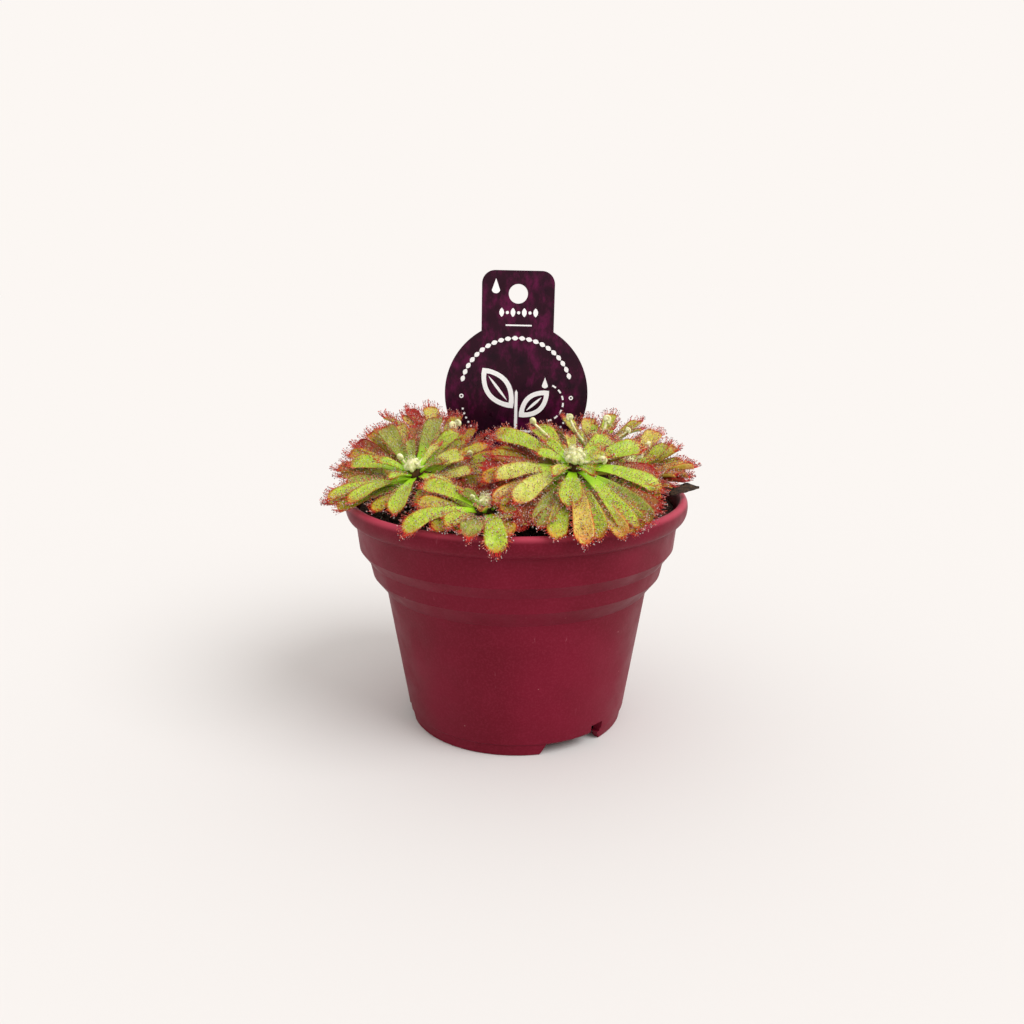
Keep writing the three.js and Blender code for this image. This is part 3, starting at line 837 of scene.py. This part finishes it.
def build_rosette(name):
    top, axis, radius = rosette_axis(f"{name}_rosette_crown")
    heart = top - axis * (1 + 1.5 * radius)
    tentacles = Tentacles()
    widest = 0
    for node in sorted(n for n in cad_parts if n.startswith(f"{name}_rosette_leaf")):
        random = Random(node)
        midrib = midrib_of(node, heart, axis)
        widest = max(widest, midrib.half)
        age = AGES[name] * random.uniform(0.4, 1.6)
        leaf = Leaf(midrib, node, age, random.uniform(0.08, 0.34), random.uniform(-0.03, 0.05))
        heap = Heap()
        add_leaf(heap, leaf, tentacles, FACE_SPACING)
        blade = heap.build(node.replace("rosette_leaf", "blade"), BLADES)
        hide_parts(node)
    others = Heap()
    for i, place in enumerate(OLD[name]):
        random = Random(f"{name} old {i}")
        midrib = arc_midrib(heart, axis, place, widest * 2 * random.uniform(0.8, 1),
                            3 + random.uniform(0, 2.5))
        age = random.uniform(0.08, 0.4) if random.random() < 0.6 else random.uniform(0.6, 1.0)
        leaf = Leaf(midrib, f"{name} old {i}", age, random.uniform(0.15, 0.5), 0.03)
        add_leaf(others, leaf, tentacles, FACE_SPACING * 1.2)
    for i, place in enumerate(YOUNG[name]):
        random = Random(f"{name} young {i}")
        midrib = arc_midrib(heart, axis, place, widest * random.uniform(0.9, 1.2), -0.4)
        leaf = Leaf(midrib, f"{name} young {i}", 0.0, random.uniform(0.4, 0.7), 0.08)
        add_leaf(others, leaf, tentacles, FACE_SPACING)
    others.build(f"{name}_other_leaves", BLADES)
    build_crown(name, top, axis, radius, tentacles)
    build_croziers(name, heart, axis)
    tentacles.heap.build(f"{name}_tentacles", HAIRS)


# ---------------------------------------------------------------- pot

# Half section of the pot: under the floor, up the outside, over the lip and down the inside
POT_SECTION_FLOOR = [(8, 3.4), (27.0, 3.4), (27.2, 3.2)]
POT_SECTION_OUTSIDE = [
    (29.3, 3.1), (29.75, 3.5), (35.05, 37.3), (38.5, 41.7), (39.35, 45.7), (41.75, 49.0), (42.5, 55.9),
]
POT_SECTION_LIP = [
    (42.6, 56.3), (43.6, 56.7), (44.5, 57.4), (45.0, 58.9), (45.0, 60.7), (44.5, 61.8), (43.6, 62.1),
    (43.0, 61.7),
]
POT_SECTION_INSIDE = [
    (42.5, 60.6), (41.8, 57.2), (41.4, 55.8), (40.7, 50.3), (40.2, 49), (38.4, 46), (37.8, 43), (36.9, 41.7),
    (34.1, 37.8), (28.3, 4.8), (27.8, 4.5), (8, 4.5),
]
FOOT = {"gap": 35, "slant": 4.5, "centres": (-60, 60, 180), "inner": (27.2, 0.02), "outer": (28.85, 29.35)}
SLOT = {"centres": (-46, 74, 194), "angle": 8, "low": 2.2, "high": 5.4}
DRAIN = {"count": 6, "angle": 14, "inner": 13, "outer": 16.5}


def wedge(heap, centre, low_half, high_half, inner, outer, low, high):
    """A block between two radii whose angle changes with height."""
    steps = 5
    points = []
    for height, half in ((low, low_half), (high, high_half)):
        for radius in (inner, outer):
            for i in range(steps):
                angle = centre - half + 2 * half * i / (steps - 1)
                points.append(compass(angle) * radius + UP * height)
    faces = []
    for i in range(steps - 1):
        a, b, c, d = i, steps + i, 2 * steps + i, 3 * steps + i
        faces += [(a, a + 1, b + 1, b), (c, d, d + 1, c + 1), (a, c, c + 1, a + 1), (b, b + 1, d + 1, d)]
    end = steps - 1
    faces += [(0, steps, 3 * steps, 2 * steps), (end, 2 * steps + end, 3 * steps + end, steps + end)]
    heap.add(np.array(points), np.array(faces), 0)


def cut_out(piece, cutter):
    """Subtracts the cutter's mesh from the piece for good, at a thousand times the size for exactness."""
    for mesh in (piece.data, cutter.data):
        mesh.transform(Matrix.Scale(1 / MM, 4))
    modifier = piece.modifiers.new("cut", "BOOLEAN")
    modifier.operation = "DIFFERENCE"
    modifier.solver = "EXACT"
    modifier.use_self = True
    modifier.object = cutter
    bpy.context.view_layer.update()
    graph = bpy.context.evaluated_depsgraph_get()
    mesh = bpy.data.meshes.new_from_object(piece.evaluated_get(graph))
    mesh.transform(Matrix.Scale(MM, 4))
    piece.modifiers.clear()
    piece.data = mesh
    bpy.data.objects.remove(cutter)


def build_pot():
    segments = 200
    floor = np.array(POT_SECTION_FLOOR)
    foot = np.array([(27.25, 0.35), (27.45, 0.0), (28.6, 0.0), (28.85, 0.3)])
    outside = np.concatenate([POT_SECTION_OUTSIDE, rounded(POT_SECTION_LIP, 2)])
    inside = rounded(POT_SECTION_INSIDE, 1)
    profile = np.concatenate([floor, foot, outside, inside])
    points = lathe_points(profile, segments)
    pot = mesh_object("pot_moulding", points, closed_faces(len(profile), segments), [POT_PLASTIC])
    cutters = Heap()
    for centre in FOOT["centres"]:
        half = FOOT["gap"] / 2
        wedge(cutters, centre, half + FOOT["slant"] / 2, half - FOOT["slant"] / 2, 26.4, 31, -1, 3.0)
    for centre in SLOT["centres"]:
        half = SLOT["angle"] / 2
        wedge(cutters, centre, half, half, 25, 31.5, SLOT["low"], SLOT["high"])
    for i in range(DRAIN["count"]):
        half = DRAIN["angle"] / 2
        wedge(cutters, i * 360 / DRAIN["count"], half, half, DRAIN["inner"], DRAIN["outer"], 2.5, 5)
    cut_out(pot, cutters.build("pot_cutter", [POT_PLASTIC]))
    for polygon in pot.data.polygons:
        polygon.use_smooth = True
    pot.data.set_sharp_from_angle(angle=math.radians(21))
    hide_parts("pot")


# ---------------------------------------------------------------- peat

def mound(radius):
    """Height of the heaped peat at a distance from the axis."""
    share = radius / SOIL_RADIUS
    return SOIL_HIGH[2] - 0.2 - 3.4 * share ** 3


def build_soil():
    segments = 150
    radii = np.linspace(0.02, SOIL_RADIUS - 0.05, 62)
    points = []
    for radius in radii:
        for i in range(segments):
            place = compass(i * 360 / segments) * radius
            rough = noise.fractal(Vector(place * 0.42), 0.8, 2.1, 5)
            pits = noise.noise(Vector(place * 0.16 + UP * 9))
            points.append(place + UP * (mound(radius) + 0.55 * rough + 0.5 * pits - 0.3))
    side = [(41.1, 56), (40.2, 50.2), (37.9, 46), (36.4, 41.8), (33.6, 37.8), (27.6, 5), (0.02, 5)]
    points = np.concatenate([np.array(points), lathe_points(side, segments)])
    faces = closed_faces(len(radii) + len(side), segments, inward=True)
    soil = mesh_object("peat_block", points, faces, [PEAT])
    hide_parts("soil")


def on_peat(random, inner=6.0):
    radius = math.sqrt(random.uniform(inner ** 2, (SOIL_RADIUS - 1.2) ** 2))
    place = compass(random.uniform(0, 360)) * radius
    return place + UP * mound(radius)


def build_peat_litter():
    """Crumbs of peat, white grit and fibres on the peat."""
    random = Random("litter")
    crumbs = Heap()
    crumb, crumb_faces = ball(2)
    for i in range(620):
        centre = on_peat(random)
        size = random.uniform(0.3, 1.15)
        shape = np.array([p * (1 + 0.45 * noise.noise(Vector(p * 1.7) + Vector((i, 0, 0)))) for p in crumb])
        stretch = np.array([random.uniform(0.7, 1.4), random.uniform(0.7, 1.3), random.uniform(0.5, 0.9)])
        crumbs.add(shape * stretch * size + centre + UP * size * 0.2, crumb_faces, 0)
    grain, grain_faces = ball(1)
    for i in range(170):
        centre = on_peat(random)
        size = random.uniform(0.14, 0.4)
        shape = grain * np.array([random.uniform(0.7, 1.3) for _ in range(3)]) * size
        crumbs.add(shape + centre + UP * 0.5, grain_faces, 1)
    for i in range(150):
        start = on_peat(random) + UP * 0.5
        heading = compass(random.uniform(0, 360))
        length = random.uniform(2.5, 8)
        steps = 6
        bend = compass(random.uniform(0, 360)) * length * 0.25
        shares = np.linspace(0, 1, steps)[:, None]
        path = start + heading * length * shares + bend * shares ** 2 + UP * np.sin(shares * math.pi) * 0.6
        over = np.linalg.norm(path[:, :2], axis=1) / (SOIL_RADIUS - 0.6)
        path[:, :2] /= np.maximum(over, 1)[:, None]
        tube(crumbs, path, np.full(steps, random.uniform(0.05, 0.13)), 4, 2)
    litter = crumbs.build("peat_litter", [PEAT, GRIT, FIBRE])


# ---------------------------------------------------------------- label

LABEL_THICKNESS = LABEL_HIGH[1] - LABEL_LOW[1]
LABEL_Y = (LABEL_HIGH[1] + LABEL_LOW[1]) / 2
DISC_RADIUS = 20.6
DISC_HEIGHT = LABEL_HIGH[2] - 34.83
TAB_HALF = 10.25
TAB_TOP = 34.7
TAB_CORNER = 3.7
STAKE_HALF = 5.0
STAKE_TIP = -60.3
STAKE_POINT = 14.0
LABEL_ROLL = math.radians(1.2)


def arc(centre, radius, start, end, steps):
    angles = np.radians(np.linspace(start, end, steps))
    return [(centre[0] + radius * math.cos(a), centre[1] + radius * math.sin(a)) for a in angles]


def flat_curve(name, outlines, depth, bevel, material, front):
    """Closed outlines (across, up) about the disc's centre, cut from sheet; one inside another is a hole.
    front is how far the sheet's middle lies in front of the label's middle."""
    curve = bpy.data.curves.new(name, "CURVE")
    curve.dimensions = "2D"
    curve.fill_mode = "BOTH"
    curve.extrude = depth / 2 - bevel
    curve.bevel_depth = bevel
    curve.bevel_resolution = 2
    curve.offset = -bevel
    for outline_points in outlines:
        spline = curve.splines.new("POLY")
        spline.points.add(len(outline_points) - 1)
        for point, (x, y) in zip(spline.points, outline_points):
            point.co = (x, y, 0, 1)
        spline.use_cyclic_u = True
    holder = bpy.data.objects.new(name, curve)
    bpy.context.scene.collection.objects.link(holder)
    bpy.context.view_layer.update()
    graph = bpy.context.evaluated_depsgraph_get()
    source = bmesh.new()
    source.from_mesh(bpy.data.meshes.new_from_object(holder.evaluated_get(graph)))
    bmesh.ops.remove_doubles(source, verts=source.verts, dist=0.001)
    flat = np.array([v.co[:] for v in source.verts])
    faces = [tuple(v.index for v in f.verts) for f in source.faces]
    source.free()
    bpy.data.objects.remove(holder)
    cos, sin = math.cos(LABEL_ROLL), math.sin(LABEL_ROLL)
    x = flat[:, 0] * cos + flat[:, 1] * sin
    z = flat[:, 1] * cos - flat[:, 0] * sin
    points = np.stack([x, LABEL_Y - front - flat[:, 2], DISC_HEIGHT + z], 1)
    piece = mesh_object(name, points, faces, [material])
    piece.data.set_sharp_from_angle(angle=math.radians(40))
    return piece


def label_outline():
    tab_angle = math.degrees(math.acos(TAB_HALF / DISC_RADIUS))
    stake_angle = math.degrees(math.acos(STAKE_HALF / DISC_RADIUS))
    inner = TAB_HALF - TAB_CORNER
    points = [(0, STAKE_TIP), (STAKE_HALF, STAKE_TIP + STAKE_POINT)]
    points += arc((0, 0), DISC_RADIUS, -stake_angle, tab_angle, 70)
    points += arc((inner, TAB_TOP - TAB_CORNER), TAB_CORNER, 0, 90, 12)
    points += arc((-inner, TAB_TOP - TAB_CORNER), TAB_CORNER, 90, 180, 12)
    points += arc((0, 0), DISC_RADIUS, 180 - tab_angle, 180 + stake_angle, 70)
    points.append((-STAKE_HALF, STAKE_TIP + STAKE_POINT))
    return points


def leaf_icon(base, angle, length, width):
    """A plain pointed leaf between two arcs."""
    along = np.array([math.cos(math.radians(angle)), math.sin(math.radians(angle))])
    flank = np.array([-along[1], along[0]])
    shares = np.linspace(0, 1, 14)
    bulge = np.sin(shares * math.pi) ** 0.8 * width / 2
    right = [tuple(base + along * s * length + flank * b) for s, b in zip(shares, bulge)]
    left = [tuple(base + along * s * length - flank * b) for s, b in zip(shares[::-1], bulge[::-1])]
    return right + left[1:-1]


def dash(angle, radius, length, width):
    """A short bar lying along a circle."""
    half = math.degrees(length / 2 / radius)
    return (arc((0, 0), radius + width / 2, angle - half, angle + half, 4)
            + arc((0, 0), radius - width / 2, angle + half, angle - half, 4))


def polar(angle, radius):
    return compass(angle)[:2] * radius


def sprout_leaf(base, angle, length, width):
    """A leaf drawn as an outline with a midrib."""
    along = compass(angle)[:2]
    outlines = [(0, length, width), (2, length - 3.9, width - 2.7), (2.8, length - 5.6, 0.8)]
    return [leaf_icon(np.array(base) + along * start, angle, reach, broad) for start, reach,
            broad in outlines]


def drop_icon(centre, size):
    round_part = arc(centre, size, 200, 340, 14)
    return round_part + [(centre[0], centre[1] + size * 2.3)]


def build_label():
    hole = arc((0, 28.3), 2.7, 0, 350, 36)
    plate = flat_curve("label_plate", [label_outline(), hole], LABEL_THICKNESS, 0.12, LABEL_PLASTIC, 0)
    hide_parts("label")
    ink = [leaf_icon(polar(angle + 3, 16), angle + 93, 1.9, 1.25) for angle in np.arange(14, 165, 7.2)]
    ink += [arc((side * 15.8, -0.7), radius, 0, 345, 16) for side in (-1, 1) for radius in (0.62, 0.3)]
    ink += [arc(polar(angle, 16), 0.32, 0, 330, 10) for angle in (*range(196, 226, 5), *range(315, 345, 5))]
    ink += sprout_leaf((-0.9, -4), 128, 14.5, 7.5) + sprout_leaf((0.9, -6.5), 42, 11.5, 6)
    ink.append([(-0.45, -10), (0.45, -10), (0.4, 0.6), (0, 1.4), (-0.4, 0.6)])
    ink.append([(-5, -11), (5, -11), (5, -10.4), (-5, -10.4)])
    ink += [[(x + 8.2, y - 2.2) for x, y in dash(angle, 5.4, 1.2, 0.5)] for angle in range(-72, 64, 22)]
    ink.append([(-3.4, 19.4), (4, 19.4), (4, 19.8), (-3.4, 19.8)])
    ink += [leaf_icon(np.array([x, 21.9]), 90, 2.5, 1.35) for x in (-4.6, -1.4, 1.8, 5.0)]
    ink += [arc((x, 23.1), 0.45, 0, 330, 12) for x in (-3, 0.2, 3.4)]
    ink += [drop_icon((-6.3, 29.6), 1.25), drop_icon((8.2, 2.9), 0.95)]
    flat_curve("label_print", ink, 0.05, 0.0, WHITE_PRINT, LABEL_THICKNESS / 2 + 0.03)


# ---------------------------------------------------------------- small things

def build_dead_leaf():
    """A dry leaf whose edges curl upwards, from the peat out over the lip."""
    low, high = box_mm("dead_leaf")
    start = np.array([low[0], (low[1] + high[1]) / 2, low[2] + 0.9])
    tip = np.array([high[0], (low[1] + high[1]) / 2, high[2] - 0.5])
    stations = 12
    shares = np.linspace(0, 1, stations)
    path = start + (tip - start) * shares[:, None] + UP * (np.sin(shares * math.pi) * 0.2)[:, None]
    half = 1.55 * np.sqrt(np.clip(1 - (1.9 * shares - 0.75) ** 2, 0.01, 1))
    points = []
    for centre, width, share in zip(path, half, shares):
        flank = np.array([0, 0.8, 0.6]) * width
        for side in (-1, -0.5, 0, 0.5, 1):
            crumple = 0.2 * math.sin(share * 17 + side * 4) * abs(side)
            points.append(centre + flank * side + UP * (0.35 * side ** 2 * width + crumple))
        for side in (0.5, 0, -0.5):
            points.append(centre + flank * side + UP * (0.35 * side ** 2 * width - 0.25))
    leaf = mesh_object("dead_leaf_curled", points, closed_faces(stations, 8, inward=True), [DEAD])
    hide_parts("dead_leaf")


BACKDROP = rgb(252, 247, 243)
SUN = {"strength": 1.9, "spread": 38, "from": (0.72, -0.5, 0.95)}


def build_stage():
    """A wide floor that is as bright as the world around it, so that no horizon shows."""
    sun = unit(np.array(SUN["from"]))
    direct = SUN["strength"] * sun[2] / math.pi
    size = 4.0
    mesh = bpy.data.meshes.new("floor")
    mesh.from_pydata([(-size, -size, 0), (size, -size, 0), (size, size, 0), (-size, size, 0)], [],
                     [(0, 1, 2, 3)])
    paper = tuple(channel / (channel + direct) for channel in BACKDROP[:3]) + (1,)
    mesh.materials.append(plain("floor_paper", paper, Roughness=1.0, Specular_IOR_Level=0.0))
    floor = bpy.data.objects.new("floor", mesh)
    bpy.context.scene.collection.objects.link(floor)
    world = bpy.data.worlds.new("studio")
    bpy.context.scene.world = world
    world.use_nodes = True
    background = world.node_tree.nodes["Background"]
    background.inputs["Color"].default_value = BACKDROP
    background.inputs["Strength"].default_value = 1.0
    light = bpy.data.lights.new("key", "SUN")
    light.energy = SUN["strength"]
    light.angle = math.radians(SUN["spread"])
    key = bpy.data.objects.new("key", light)
    key.rotation_euler = Vector(-sun).to_track_quat("-Z", "Y").to_euler()
    bpy.context.scene.collection.objects.link(key)


CAMERA_PLACE = (-1.2, -246.3, 120.0)
CAMERA_TILT = 14.48
LENS = 33.4
SENSOR = 36


def build_camera():
    camera = bpy.data.cameras.new("camera")
    camera.lens = LENS
    camera.sensor_width = SENSOR
    camera.clip_start = 0.01
    holder = bpy.data.objects.new("camera", camera)
    holder.location = Vector(CAMERA_PLACE) * MM
    holder.rotation_euler = (math.radians(90 - CAMERA_TILT), 0, 0)
    bpy.context.scene.collection.objects.link(holder)
    bpy.context.scene.camera = holder


# ---------------------------------------------------------------- assembly

build_camera()
build_stage()
bpy.context.scene.view_settings.view_transform = "Standard"

build_pot()
build_soil()
build_peat_litter()
build_label()
build_dead_leaf()
for rosette in OLD:
    build_rosette(rosette)
